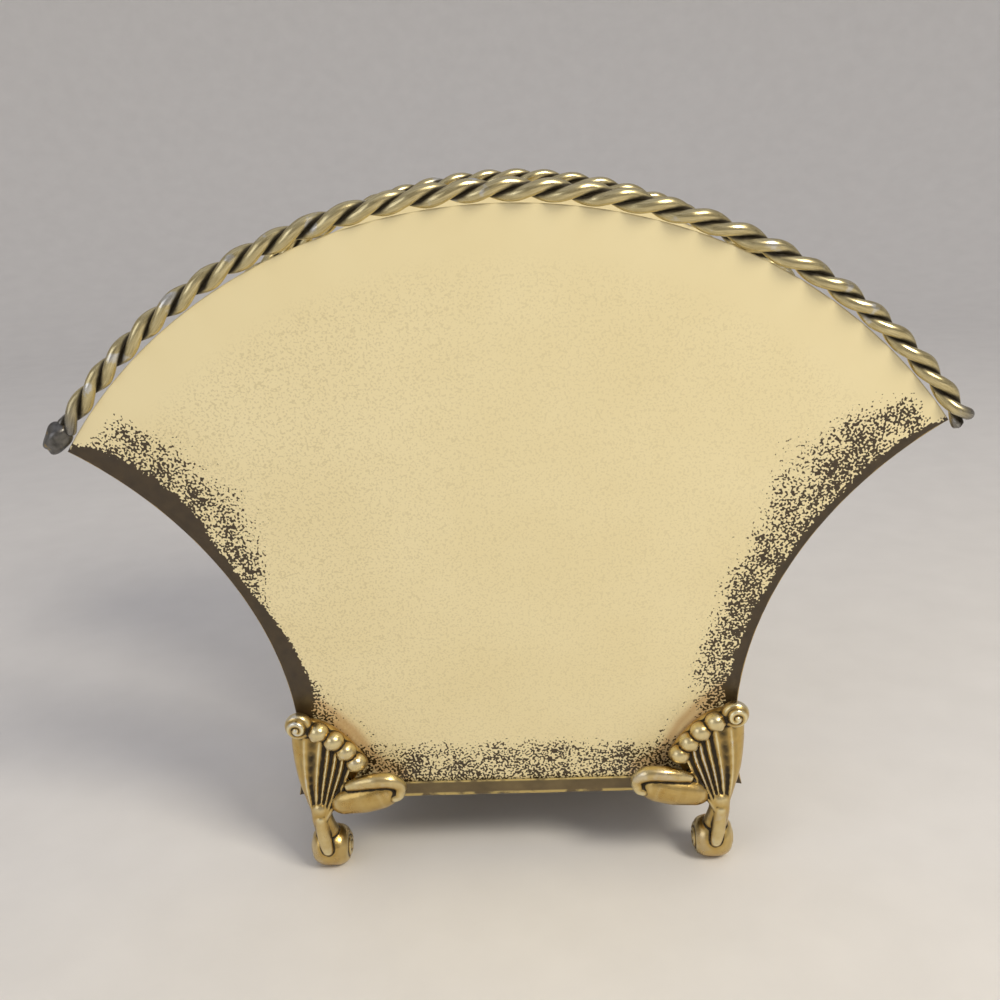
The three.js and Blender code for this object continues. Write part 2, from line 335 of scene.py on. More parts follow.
def panel_mesh(name, facing, values):
    """A closed sheet: a face, a back and a rim between them whose section is half a circle.

    The rim starts half a thickness inside the outline and swings out by sin and back by cos of its angle."""
    flat = panel_points()
    rows, columns = flat.shape[:2]
    outline = ring_of(flat)
    run = np.roll(outline, -1, 0) - np.roll(outline, 1, 0)
    normal = np.stack([run[:, 1], -run[:, 0]], -1) / np.hypot(*run.T)[:, None]
    half = SHEET / 2
    index = ring_of(np.arange(rows * columns).reshape(rows, columns))
    inset = flat.reshape(-1, 2).copy()
    inset[index] -= half * normal
    proud = sheet_relief(*inset.T)
    face = np.column_stack([inset, proud])
    back = np.column_stack([inset, -SHEET - (proud - 2 * np.minimum(proud, 0)) * 0.3])
    arc = np.linspace(0, np.pi, 9)[1:-1, None, None]
    middle = ((face[index, 2] + back[index, 2]) / 2)[None, :, None]
    reach = ((face[index, 2] - back[index, 2]) / 2)[None, :, None]
    rim_xv = inset[index][None] + normal[None] * half * np.sin(arc)
    rim = np.concatenate([rim_xv, middle + reach * np.cos(arc)], -1)
    points = np.vstack([face, back, rim.reshape(-1, 3)])
    count, around = rows * columns, len(index)
    rim_index = 2 * count + np.arange(len(arc) * around).reshape(len(arc), around)
    loops = np.vstack([index, rim_index, index + count])
    nxt = np.roll(loops, -1, 1)
    rim_faces = np.stack([loops[:-1], loops[1:], nxt[1:], nxt[:-1]], -1).reshape(-1, 4)
    faces = grid_faces(rows, columns)
    made = {label: value(*points.T) for label, value in values.items()}
    return make_mesh(name, lean(points, facing), [faces, faces[:, ::-1] + count, rim_faces], made)

# %% [markdown]
# ## Where the sponge touched
# After the ivory ground dried, the decorator dabbed dark olive along the sides and the foot of each panel
# with a sponge: nearly solid at the very edge, then worm-like specks that thin out inwards. That is a
# density, not a picture, so it is worked out at each point of the sheet from its distance to the edges and
# kept as an attribute. The material later compares it with a fine noise: where noise and density add up to
# enough, there is paint.

# %% Sponge density
# How far in the specks and the solid band reach, in mm, as (height, reach) up each side of the sheet.
SPONGE_LEFT = ((0, 15), (25, 16), (33, 9), (45, 5), (52, 8), (60, 13), (70, 22), (80, 25), (90, 24),
               (99, 14), (107, 2))
SPONGE_RIGHT = ((0, 16), (25, 17), (45, 17), (55, 18), (65, 19), (75, 23), (85, 27), (95, 17), (104, 2))
BAND_LEFT = ((0, 1.6), (18, 2.6), (30, 4.6), (42, 4.2), (54, 1.7), (64, 2.0), (74, 4.4), (84, 4.2), (91, 2.0))
BAND_RIGHT = ((0, 1.2), (25, 2.4), (45, 1.6), (60, 1.1), (80, 1.4), (91, 0.9))
FOOT_OUTLINE = ((52, 27), (46, 26.6), (41, 22), (37, 17), (34, 11), (31, 7.5), (27.5, 6), (26, 2))


def smooth(value):
    """0 below 0, 1 above 1, and an s-shaped step 3t^2 - 2t^3 between."""
    t = np.clip(value, 0, 1)
    return t * t * (3 - 2 * t)


def by_height(pairs, v):
    """The value at height v from (height, value) pairs, straight between them."""
    heights, values = zip(*pairs)
    return np.interp(v, heights, values)


def foot_gap(x, v):
    """Distance in mm from the outline that a foot leaves on the sheet."""
    corners = np.array(FOOT_OUTLINE, float)
    at = np.linspace(0, len(corners) - 1, 60)
    outline = np.stack([np.interp(at, np.arange(len(corners)), corners[:, axis]) for axis in (0, 1)], -1)
    return np.sqrt(((np.stack([np.abs(x), v], -1)[:, None] - outline) ** 2).sum(-1)).min(1)


def olive_density(x, v, w):
    """About 0.2 where specks begin, 0.5 where they are half the surface and 1 where the paint is solid."""
    gap = side_gap(x, v)
    reach = np.where(x < 0, by_height(SPONGE_LEFT, v), by_height(SPONGE_RIGHT, v))
    width = np.where(x < 0, by_height(BAND_LEFT, v), by_height(BAND_RIGHT, v))
    sides = 0.50 * smooth((1 - gap / reach) / 0.7)
    foot = 0.47 * smooth((19 - v) / 9)
    smudge = 0.34 * np.exp(-(((foot_gap(x, v) - 3.6) / 1.3) ** 2)) * smooth((27 - v) / 5)
    inwards = np.maximum(np.maximum(sides, foot), smudge) * smooth(crown_gap(x, v) / 5)
    band = 0.6 * smooth((width - gap) / 1.8 + 0.5)
    return np.where(w > -SHEET / 2, inwards + band, 0.35 * band)


def mottle_density(x, v, w):
    """Faint tan mottling: none within a finger of the wire, strongest on the left half."""
    away = smooth((crown_gap(x, v) - 7) / 7)
    return away * (0.55 + 0.45 * smooth((10 - x) / 60)) * np.where(w > -SHEET / 2, 1, 0.4)


def halo_density(x, v, w):
    """A tan ring round each foot on the sheet's face: strongest 1.2 mm from the foot's outline."""
    return np.exp(-(((foot_gap(x, v) - 1.0) / 1.1) ** 2)) * smooth(v / 5) * np.where(w > -SHEET / 2, 1, 0)


def edge_wear(x, v, w):
    """1 on the hem's outermost half millimetre, where handling has taken the paint off, 0 further in."""
    return smooth(1.3 - side_gap(x, v) / 0.45)


# %% Painted tin
# Tinplate under brushed ivory oil paint and a thin amber varnish: warm, satin, with a soft broad highlight.
GROUND_WARM, GROUND_SHADE = linear("f3e6b8"), linear("e9d9a6")
MOTTLE_TAN, SPONGE_DARK, SPONGE_BROWN = linear("bfae7e"), linear("2a1f0c"), linear("4a3a20")
HALO_TAN, BARE_EDGE = linear("c9a675"), linear("a48a4e")
SPECK, MOTTLE, CLOUD, CLUMP = 0.5, 0.45, 24.0, 5.5


def attribute(tree, label):
    """The number that a mesh attribute holds at each point."""
    return add(tree, "Attribute", attribute_name=label).outputs["Fac"]


def noise(tree, place, size, detail=0.0, roughness=0.5):
    """Smooth noise from 0 to 1 whose blobs are about size mm apart."""
    sockets = {"Vector": place, "Scale": 1 / (size * MM), "Detail": detail, "Roughness": roughness}
    return add(tree, "TexNoise", sockets).outputs["Fac"]


def sums(tree, kind, first, second):
    """One Math node's output."""
    return add(tree, "Math", {0: first, 1: second}, operation=kind).outputs[0]


def step_between(tree, value, low, high):
    """0 where value is under low, 1 where it is over high, and smooth between."""
    sockets = {"Value": value, "From Min": low, "From Max": high}
    return add(tree, "MapRange", sockets, interpolation_type="SMOOTHSTEP").outputs[0]


painted_tin, tree, surface = new_material("ivory_oil_paint_on_tin")
place = add(tree, "TexCoord").outputs["Object"]
ground = blend_colours(tree, noise(tree, place, CLOUD, 3.0), GROUND_WARM, GROUND_SHADE)
spots = step_between(tree, noise(tree, place, MOTTLE, 1.0), 0.50, 0.66)
faint = sums(tree, "MULTIPLY", spots, attribute(tree, "mottle"))
ground = blend_colours(tree, sums(tree, "MULTIPLY", faint, 0.42), ground, MOTTLE_TAN)
ground = blend_colours(tree, sums(tree, "MULTIPLY", attribute(tree, "halo"), 0.8), ground, HALO_TAN)
speck = sums(tree, "ADD", noise(tree, place, SPECK, 0.6), attribute(tree, "olive"))
clump = sums(tree, "MULTIPLY", noise(tree, place, CLUMP, 1.0), 0.34)
covered = step_between(tree, sums(tree, "ADD", speck, clump), 1.12, 1.18)
sponge = blend_colours(tree, noise(tree, place, 2.2, 3.0), SPONGE_DARK, SPONGE_BROWN)
tint = blend_colours(tree, covered, ground, sponge)
wear = sums(tree, "ADD", attribute(tree, "edge"), noise(tree, place, 3.0, 3.0))
rubbed = step_between(tree, wear, 1.25, 1.5)
tint = blend_colours(tree, rubbed, tint, BARE_EDGE)
relief = sums(tree, "ADD", sums(tree, "MULTIPLY", covered, 0.6), noise(tree, place, 0.5, 2.0))
bump = add(tree, "Bump", {"Height": relief, "Distance": 0.02 * MM, "Strength": 0.35})
gloss = add(tree, "MapRange", {"Value": noise(tree, place, 9.0, 4.0), "To Min": 0.34, "To Max": 0.52})
shader = add(tree, "BsdfPrincipled", {
    "Base Color": tint, "Roughness": gloss.outputs[0], "Normal": bump.outputs[0],
    "Coat Weight": 0.18, "Coat Roughness": 0.22})
tree.links.new(shader.outputs[0], surface)

sheet_values = {"olive": olive_density, "mottle": mottle_density, "halo": halo_density, "edge": edge_wear}
for facing, node in ((1, "front_panel"), (-1, "rear_panel")):
    make_piece(panel_mesh("painted_" + node, facing, sheet_values), painted_tin, [node])

# %% [markdown]
# ## The tray under the panels
# A single strip of tin is folded into a shallow channel: the floor inside, and a low lip that clips each
# panel's lower edge. Its section is a path with a thickness, so it is drawn as a path, given its two walls
# and round edges, and carried along the tray's length.

# %% Tray
LIP_HEIGHT, LIP_GAP, FOLD = 3.4, 0.3, 0.7


def thick_path(path, thickness):
    """A closed section round an open path: both sides at half the thickness, joined by half circles."""
    run = np.gradient(path, axis=0)
    run /= np.hypot(*run.T)[:, None]
    normal = np.stack([run[:, 1], -run[:, 0]], -1)
    turn = np.linspace(0, np.pi, 7)[1:-1, None]
    end = lambda at: path[at] + thickness / 2 * (
        np.sin(turn) * run[at] * (1 if at else -1) + np.cos(turn) * normal[at] * (1 if at else -1))
    return np.vstack([path + thickness / 2 * normal, end(-1), (path - thickness / 2 * normal)[::-1], end(0)])


def tray_path():
    """Half the channel's middle line in (y, z), up the front lip from the floor, then mirrored for the rear.

    The lip leans with the panel, and a quarter of a circle of radius FOLD joins it to the floor."""
    floor_z = tray_low[2] + SHEET / 2
    lip_w = LIP_GAP + SHEET / 2
    lip_v = np.linspace(LIP_HEIGHT - SHEET / 2, 0.5, 12)
    lip = lean(np.stack([np.zeros(12), lip_v, np.full(12, lip_w)], -1), 1)
    foot = lip[-1, 1:]
    corner = np.array([foot[0] + 0.02, floor_z])
    t = np.linspace(0, 1, 10)[1:, None]
    fold = (1 - t) ** 2 * foot + 2 * t * (1 - t) * corner + t**2 * (corner + [FOLD, 0])
    floor = np.stack([np.linspace(fold[-1, 0] + 1, 0, 16), np.full(16, floor_z)], -1)
    half = np.vstack([lip[:, 1:], fold, floor])
    return np.vstack([half, half[-2::-1] * [-1, 1]])


tray_section = thick_path(tray_path(), SHEET)
middle_line = thick_path(tray_path(), 1e-3)
tray_x = np.linspace(-HALF_TRAY, HALF_TRAY, 130)
from_end = HALF_TRAY - np.abs(tray_x)
from_end[[0, -1]] = 0.02
fullness = np.sqrt(1 - (1 - np.clip(from_end / (SHEET / 2), 0, 1)) ** 2)[:, None, None]
tray_yz = middle_line + (tray_section - middle_line) * fullness
dents = 0.05 * np.sin(tray_x / 3.7) * np.sin(tray_x / 11.0 + 1)
tray_points = np.concatenate([np.broadcast_to(tray_x[:, None, None], tray_yz.shape[:2] + (1,)), tray_yz], -1)
tray_points[..., 1] += dents[:, None] * np.sign(tray_points[..., 1]) * (np.abs(tray_points[..., 1]) > 24)
section_count = tray_section.shape[0]
tray_faces = grid_faces(len(tray_x), section_count, wrap=True)
end_ring = np.arange(section_count)
end_caps = [end_ring[None, :], (end_ring + (len(tray_x) - 1) * section_count)[None, ::-1]]
tray_flat = tray_points.reshape(-1, 3)
up_lip = (tray_flat[:, 2] - HINGE_Z) / LIP_HEIGHT
outside = np.abs(tray_flat[:, 1]) > 25.2
tray_values = {"outside": outside.astype(float), "up": up_lip}

# Tin under an olive-brown glaze: dark satin. Pale brass is painted along the lip's top and its fold, partly
# glaze worn to bare metal and partly a painted highlight where those bends catch the light.
glazed_tin, tree, surface = new_material("olive_glaze_on_tin")
place = add(tree, "TexCoord").outputs["Object"]
glaze = blend_colours(tree, noise(tree, place, 4.0, 4.0), linear("3f331c"), linear("7d6b45"))
# Painted highlight and wear: the outside of the lip's top and of its fold turns pale brass, broken up by
# noise.
near_top = step_between(tree, attribute(tree, "up"), 0.84, 0.95)
near_fold = sums(tree, "SUBTRACT", 1.0, step_between(tree, attribute(tree, "up"), -0.02, 0.12))
rubbed_and_highlit = sums(tree, "MULTIPLY", sums(tree, "MAXIMUM", near_top, near_fold), attribute(tree, "outside"))
rubbed_and_highlit = sums(tree, "MULTIPLY", rubbed_and_highlit, step_between(tree, noise(tree, place, 3.0, 4.0), 0.36, 0.56))
tint = blend_colours(tree, rubbed_and_highlit, glaze, linear("d3bd7c"))
bump = add(tree, "Bump", {"Height": noise(tree, place, 0.8, 3.0), "Distance": 0.03 * MM, "Strength": 0.4})
shader = add(tree, "BsdfPrincipled", {
    "Base Color": tint, "Metallic": sums(tree, "MULTIPLY", rubbed_and_highlit, 0.8), "Roughness": 0.42,
    "Normal": bump.outputs[0]})
tree.links.new(shader.outputs[0], surface)
make_piece(make_mesh("folded_tray", tray_flat, [tray_faces] + end_caps, tray_values), glazed_tin,
           ["floor_tray"])

# %% [markdown]
# ## The twisted wires
# Two drawn wires are twisted together like a rope and soldered along each crown. A wire in a twisted pair
# runs on a helix round the rope's own middle line, which here is an arc just outside the crown. A round
# section is carried along that helix. The surface also gets how far out it lies on the rope. The hollows
# between the strands are painted nearly black, partly old lacquer and partly painted shade where the strands
# shade each other, while the crests keep the bright metal.

# %% Wires
LAY_LENGTH, WIRE, SWING, STANDOFF = 14.6, 2.40, 0.98, 2.35
ROPE_FROM, ROPE_TO = np.radians(-52.8), np.radians(56.3)
rope_radius = crown_radius + STANDOFF


def noise_line(at, seed, cell=1.0):
    """Smooth random numbers from -1 to 1 along a line, one new value each cell."""
    table = np.random.default_rng(seed).uniform(-1, 1, 4096)
    low = np.floor(at / cell).astype(int)
    part = smooth(at / cell - low)
    return table[low % 4096] * (1 - part) + table[(low + 1) % 4096] * part


def wire_mesh(name, facing, phase, trim, seed):
    """A round section carried along a helix: angle runs along the arc while the phase falls, a left-hand lay.

    The radius is the wire's, with faint dents, and it closes to a blunt dome at both ends. Near the right
    end the strand swings outwards, where the pair was cut and sprang open."""
    length = (ROPE_TO - ROPE_FROM) * rope_radius - trim
    steps, sides = int(length / 0.36), 22
    along = np.linspace(0, length, steps)
    angle = ROPE_FROM + along / rope_radius
    spin = phase - 2 * np.pi * along / LAY_LENGTH + 0.10 * noise_line(along, seed, 9.0)
    sprung = smooth((along - length + 5.0) / 6.0)
    swing = SWING * (1 + 0.5 * sprung) * (1 + 0.02 * noise_line(along, seed + 1, 3.0))
    out = rope_radius + swing * np.cos(spin)
    depth = swing * np.sin(spin) - SHEET / 2
    middle = np.stack([out * np.sin(angle), crown_centre + out * np.cos(angle), depth], -1)
    run = np.gradient(middle, axis=0)
    run /= np.linalg.norm(run, axis=1)[:, None]
    radial = np.stack([np.sin(angle), np.cos(angle), 0 * angle], -1)
    side = radial - (radial * run).sum(1)[:, None] * run
    side /= np.linalg.norm(side, axis=1)[:, None]
    other = np.cross(run, side)
    dome = np.minimum(along, length - along) / (WIRE * 0.3)
    dents = 1 + 0.025 * noise_line(along, seed + 2, 1.3)
    radius = WIRE / 2 * np.sqrt(1 - (1 - np.clip(dome, 0.02, 1)) ** 2) * dents
    theta = np.linspace(0, 2 * np.pi, sides, endpoint=False)
    ring = np.cos(theta)[None, :, None] * side[:, None] + np.sin(theta)[None, :, None] * other[:, None]
    points = (middle[:, None] + radius[:, None, None] * ring).reshape(-1, 3)
    rope_out = np.hypot(points[:, 0], points[:, 1] - crown_centre) - rope_radius
    crest = np.hypot(rope_out, points[:, 2] + SHEET / 2) / (SWING + WIRE / 2)
    strand = np.stack(np.broadcast_arrays(
        WIRE / 2 * np.cos(theta), WIRE / 2 * np.sin(theta), along[:, None]), -1).reshape(-1, 3)
    tip = np.repeat(np.maximum(smooth(1 - along / 9), smooth(1 - (length - along) / 4.2)), sides)
    cap = [np.arange(sides)[None, ::-1], (np.arange(sides) + (steps - 1) * sides)[None, :]]
    faces = [grid_faces(steps, sides, wrap=True)] + cap
    values = {"crest": crest, "strand": strand * MM, "tinned": tip}
    return make_mesh(name, lean(points, facing), faces, values)


# %% Gilt wire finish
# Drawn brass wire, gilt-lacquered and rubbed: mirror-like pale crests, drawn streaks, and hollows painted
# nearly black, partly old lacquer and partly painted shade where the strands shade each other.
gilt_wire, tree, surface = new_material("gilt_wire_with_painted_shade")
strand = add(tree, "Attribute", attribute_name="strand").outputs["Vector"]
place = add(tree, "TexCoord").outputs["Object"]
drawn = add(tree, "Mapping", {"Vector": strand, "Scale": (1.0, 1.0, 0.14)}).outputs[0]
streaks = noise(tree, drawn, 0.30, 3.0)
patches = noise(tree, place, 2.4, 3.0)
brass = blend_colours(tree, streaks, linear("8d7c4c"), linear("f1e4b4"))
pewter = blend_colours(tree, streaks, linear("3a3a3c"), linear("a9a7a2"))
silver_spots = step_between(tree, noise(tree, place, 5.0, 4.0), 0.60, 0.68)
brass = blend_colours(tree, sums(tree, "MULTIPLY", silver_spots, 0.75), brass, linear("d4d6d6"))
metal = blend_colours(tree, attribute(tree, "tinned"), brass, pewter)
# Painted shade and old lacquer: the colour falls to nearly black towards the rope's middle, between the
# strands.
hollow = sums(tree, "ADD", attribute(tree, "crest"), sums(tree, "MULTIPLY", patches, 0.22))
clean_and_unshaded = step_between(tree, hollow, 0.62, 0.90)
tint = blend_colours(tree, clean_and_unshaded, linear("2b230e"), metal)
dull = add(tree, "MapRange", {"Value": clean_and_unshaded, "To Min": 0.62, "To Max": 0.27}).outputs[0]
bump = add(tree, "Bump", {"Height": streaks, "Distance": 0.06 * MM, "Strength": 0.55})
shader = add(tree, "BsdfPrincipled", {
    "Base Color": tint, "Metallic": add(tree, "MapRange", {"Value": clean_and_unshaded, "To Min": 0.35}).outputs[0],
    "Roughness": dull, "Normal": bump.outputs[0]})
tree.links.new(shader.outputs[0], surface)

for facing, side in ((1, "front"), (-1, "rear")):
    for strand_name, phase, trim in (("a", 0.0, 1.2), ("b", np.pi, 0.0)):
        node = f"{side}_wire_{strand_name}"
        seed = 10 * len(node) + (7 if strand_name == "a" else 3)
        make_piece(wire_mesh("twisted_" + node, facing, phase, trim, seed), gilt_wire, [node])

# %% [markdown]
# ## The solder at the wire's start
# The left end of each pair sits in a lump of solder. It is an egg whose skin was lumpy when it set, so it is
# drawn as an egg with a few broad swellings, its long axis along the wire.

# %% Solder beads
BEAD_AXES = (3.9, 2.6, 2.35)
BEAD_SLOPE = np.radians(54.0)
BEAD_SIDES = 56


def unlean(points, facing):
    """Back from the row frame to sheet points (x, v, w), the reverse of lean."""
    x, y, z = np.moveaxis(np.asarray(points, float), -1, 0)
    across, rise = facing * y - HINGE_Y, z - HINGE_Z
    return np.stack([facing * x, rise * np.cos(LEAN) - across * np.sin(LEAN),
                     -across * np.cos(LEAN) - rise * np.sin(LEAN)], -1)


def bead_mesh(name, node, facing):
    """An egg on (longitude, latitude): each radius is an axis times 1 plus a few broad swellings."""
    low, high = (np.array(corner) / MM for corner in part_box(node))
    centre = unlean((low + high) / 2, facing)
    lat = np.linspace(-np.pi / 2, np.pi / 2, 40)[1:-1, None]
    lon = np.linspace(0, 2 * np.pi, BEAD_SIDES, endpoint=False)[None]
    round_x, round_v, round_w = np.sin(lat), np.cos(lat) * np.cos(lon), np.cos(lat) * np.sin(lon)
    unit = np.stack(np.broadcast_arrays(round_x, round_v, round_w), -1)
    poles = np.array([[-1.0, 0, 0], [1.0, 0, 0]])
    unit = np.vstack([unit.reshape(-1, 3), poles])
    swell = 0.10 * np.sin(3.1 * unit[:, 0] + 1) * np.cos(2.3 * unit[:, 1])
    swell = swell + 0.06 * np.sin(5.2 * unit[:, 1] + 3 * unit[:, 0])
    egg = unit * BEAD_AXES * (1 + swell)[:, None]
    egg[:, 1] *= 1 + 0.16 * np.sin(egg[:, 0] / BEAD_AXES[0] * 2.2)
    x = centre[0] + egg[:, 0] * np.cos(BEAD_SLOPE) - egg[:, 1] * np.sin(BEAD_SLOPE)
    v = centre[1] + egg[:, 0] * np.sin(BEAD_SLOPE) + egg[:, 1] * np.cos(BEAD_SLOPE)
    points = lean(np.stack([x, v, centre[2] + egg[:, 2]], -1), facing)
    rows = len(lat)
    pole, last = rows * BEAD_SIDES, (rows - 1) * BEAD_SIDES
    at = np.arange(BEAD_SIDES)
    after = (at + 1) % BEAD_SIDES
    caps = [np.stack([after, at, np.full(BEAD_SIDES, pole)], -1),
            np.stack([last + at, last + after, np.full(BEAD_SIDES, pole + 1)], -1)]
    return make_mesh(name, points, [grid_faces(rows, BEAD_SIDES, wrap=True)] + caps)


# Tin-lead solder, oxidised: dark pewter grey with soft broad glints and a few gold smears from the lacquer.
solder, tree, surface = new_material("oxidised_solder")
place = add(tree, "TexCoord").outputs["Object"]
grey = blend_colours(tree, noise(tree, place, 1.2, 3.0), linear("2e2d2c"), linear("8d8b86"))
smear = step_between(tree, noise(tree, place, 2.6, 2.0), 0.58, 0.66)
tint = blend_colours(tree, sums(tree, "MULTIPLY", smear, 0.7), grey, linear("a58d52"))
bump = add(tree, "Bump", {"Height": noise(tree, place, 0.9, 2.0), "Distance": 0.10 * MM, "Strength": 0.6})
shader = add(tree, "BsdfPrincipled", {
    "Base Color": tint, "Metallic": 1.0, "Roughness": 0.34, "Normal": bump.outputs[0]})
tree.links.new(shader.outputs[0], surface)
for facing, side in ((1, "front"), (-1, "rear")):
    node = side + "_solder_bead"
    make_piece(bead_mesh("solder_on_" + side, node, facing), solder, [node])

# %% [markdown]
# ## The cast feet
# Each foot is a small brass casting: a shell leaf whose ribs fan out from a neck, a margin that rolls
# forward in five scallops, a long scroll towards the middle, and a rolled toe to stand on. It could be
# sculpted by hand. Here each part is a numpy surface in the foot's own axes, and the parts, which overlap,
# are fused by a voxel remesh as wax parts are before casting. The axes are a towards the middle of the
# tray, up from the sheet's lower edge, and out from the leaning face, so one foot serves all four corners.

# %% Surfaces for a casting
def through(points, count):
    """count points on a Catmull-Rom curve through the given ones, evenly spaced in its parameter."""
    p = np.asarray(points, float)
    p = np.vstack([2 * p[0] - p[1], p, 2 * p[-1] - p[-2]])
    at = np.linspace(0, len(p) - 3, count) * (1 - 1e-9)
    low = at.astype(int)
    u = (at - low)[:, None]
    a, b, c, d = p[low], p[low + 1], p[low + 2], p[low + 3]
    return 0.5 * (2 * b + (c - a) * u + (2 * a - 5 * b + 4 * c - d) * u**2 + (3 * b - a - 3 * c + d) * u**3)


def closed_tube(rings):
    """Points and faces of a tube from its rings (rows x sides x 3), with a fan of triangles over each end."""
    rows, sides = rings.shape[:2]
    points = np.vstack([rings.reshape(-1, 3), rings[0].mean(0), rings[-1].mean(0)])
    at = np.arange(sides)
    after, last = (at + 1) % sides, (rows - 1) * sides
    start = np.stack([after, at, np.full(sides, rows * sides)], -1)
    end = np.stack([last + at, last + after, np.full(sides, rows * sides + 1)], -1)
    return points, grid_faces(rows, sides, wrap=True), np.vstack([start, end])


def tube(points, radii, flat=1.0, steps=70, sides=32):
    """A round section carried along a curve: the radius follows radii and closes in a dome at both ends.

    flat scales the section in the direction out of the sheet."""
    middle = through(points, steps)
    radius = np.interp(np.linspace(0, 1, steps), np.linspace(0, 1, len(radii)), radii)
    hop = np.linalg.norm(np.diff(middle, axis=0), axis=1)
    along = np.concatenate([[0], np.cumsum(hop)])
    from_end = np.minimum(along, along[-1] - along)
    dome = np.clip(from_end / ((radii[0] + radii[-1]) / 2), 0.03, 1)
    radius = radius * np.sqrt(1 - (1 - dome) ** 2)
    run = np.gradient(middle, axis=0)
    run /= np.linalg.norm(run, axis=1)[:, None]
    side = np.cross(run, [0, 0, 1.0])
    side /= np.linalg.norm(side, axis=1)[:, None]
    other = np.cross(side, run) * flat
    theta = np.linspace(0, 2 * np.pi, sides, endpoint=False)[None, :, None]
    circle = np.cos(theta) * side[:, None] + np.sin(theta) * other[:, None]
    return closed_tube(middle[:, None] + radius[:, None, None] * circle)


def groove(rho, theta, start, pitch, width):
    """1 in a spiral groove, 0 beside it: how near rho is to start + pitch times whole and part turns."""
    turns = (rho - start) / pitch - theta / (2 * np.pi)
    return np.exp(-(((turns - np.round(turns)) * pitch / width) ** 2)) * smooth((rho - start) / 0.4 + 1)


# %% The leaf
OUTER_EDGE = ((-3.9, -3.2), (-5.6, 0.6), (-7.0, 6.0), (-7.45, 13.0), (-7.2, 20.2))
INNER_EDGE = ((0.0, -3.0), (2.6, 0.6), (5.4, 4.4), (7.6, 8.0), (8.2, 10.9))
KNOBS = ((-4.6, 21.2), (-0.3, 19.7), (2.8, 17.3), (5.2, 14.5), (7.2, 11.3))
RIBS, RIB_DEPTH = 7.0, 0.75


def leaf():
    """A Coons patch between the two edges, the neck and the margin, bulging out of the sheet and fluted.

    The flutes are the size of sin(pi n q): sharp ridges at whole n q, hollows between, fading at the neck."""
    across, rows = 150, 90
    q = np.linspace(0, 1, across)[None, :, None]
    s = np.linspace(0, 1, rows)[:, None, None]
    outer, inner = through(OUTER_EDGE, rows)[:, None], through(INNER_EDGE, rows)[:, None]
    margin = through((OUTER_EDGE[-1],) + KNOBS[1:4] + (INNER_EDGE[-1],), across)[None]
    neck = outer[:1] * (1 - q) + inner[:1] * q
    corners = (1 - s) * ((1 - q) * outer[0] + q * inner[0]) + s * ((1 - q) * outer[-1] + q * inner[-1])
    flat = (1 - s) * neck + s * margin + (1 - q) * outer + q * inner - corners
    s, q = s[..., 0], q[..., 0]
    front = np.interp(s, [0, 0.2, 0.5, 0.8, 1], [7.0, 6.2, 5.2, 4.4, 3.2])
    back = np.interp(s, [0, 0.14, 0.3, 1], [2.4, 0.6, -0.15, -0.15])
    flute = np.abs(np.sin(np.pi * (RIBS * q + 0.15))) ** 0.8
    fade = smooth(s / 0.35) * smooth((1.12 - s) / 0.3) * smooth(q / 0.16) * smooth((1 - q) / 0.05 + 0.4)
    edge = (1 - np.abs(2 * q - 1) ** 5) ** 0.5
    out = back + (front - back) * (0.12 + 0.88 * edge) - RIB_DEPTH * flute * fade
    face = np.concatenate([flat, out[..., None]], -1)
    rear = np.concatenate([flat, np.broadcast_to(back, out.shape)[..., None]], -1)[:, ::-1]
    return closed_tube(np.concatenate([face, rear], 1)[:, ::-1])


def knob(centre, out, half_axes, swirl=0.0):
    """An egg on (latitude, longitude); swirl cuts a spiral groove round its front, as on a volute."""
    lat = np.linspace(-np.pi / 2, np.pi / 2, 46)[1:-1, None]
    lon = np.linspace(0, 2 * np.pi, 64, endpoint=False)[None]
    a, up, outward = np.cos(lat) * np.cos(lon), np.cos(lat) * np.sin(lon), np.sin(lat)
    unit = np.stack(np.broadcast_arrays(a, up, outward), -1)
    rho, theta = np.hypot(unit[..., 0], unit[..., 1]) * half_axes[0], np.arctan2(unit[..., 1], unit[..., 0])
    depth = swirl * groove(rho, theta, 0.5, 1.7, 0.42)
    depth = depth * smooth(unit[..., 2] * 3) * smooth((half_axes[0] - rho) / 0.6)
    rings = unit * np.asarray(half_axes) * (1 - depth[..., None] / half_axes[0])
    return closed_tube(rings + [centre[0], centre[1], out])


# %% Scroll, neck and toe
TOE_MIDDLE, TOE_HALF = (-1.0, -12.85, 2.6), (4.7, 5.1)


def toe():
    """A roll across the foot: a superellipse turned round the a axis, with a spiral groove on both ends."""
    beta = np.linspace(-np.pi / 2, np.pi / 2, 72)[1:-1, None]
    theta = np.linspace(0, 2 * np.pi, 90, endpoint=False)[None]
    round_off = 0.72
    width = np.sign(np.sin(beta)) * np.abs(np.sin(beta)) ** round_off * TOE_HALF[0]
    rho = np.cos(beta) ** round_off * TOE_HALF[1]
    cut = 0.5 * groove(rho, theta, 0.9, 1.5, 0.3)
    cut = cut * smooth((np.abs(width) - 3.2) / 1.0) * smooth((4.0 - rho) / 0.8)
    a = width - np.sign(width) * cut
    up, out = rho * np.cos(theta), rho * np.sin(theta)
    up = np.maximum(up, -TOE_HALF[1] + 0.45)
    rings = np.stack(np.broadcast_arrays(a, up, out), -1) + TOE_MIDDLE
    return closed_tube(rings)


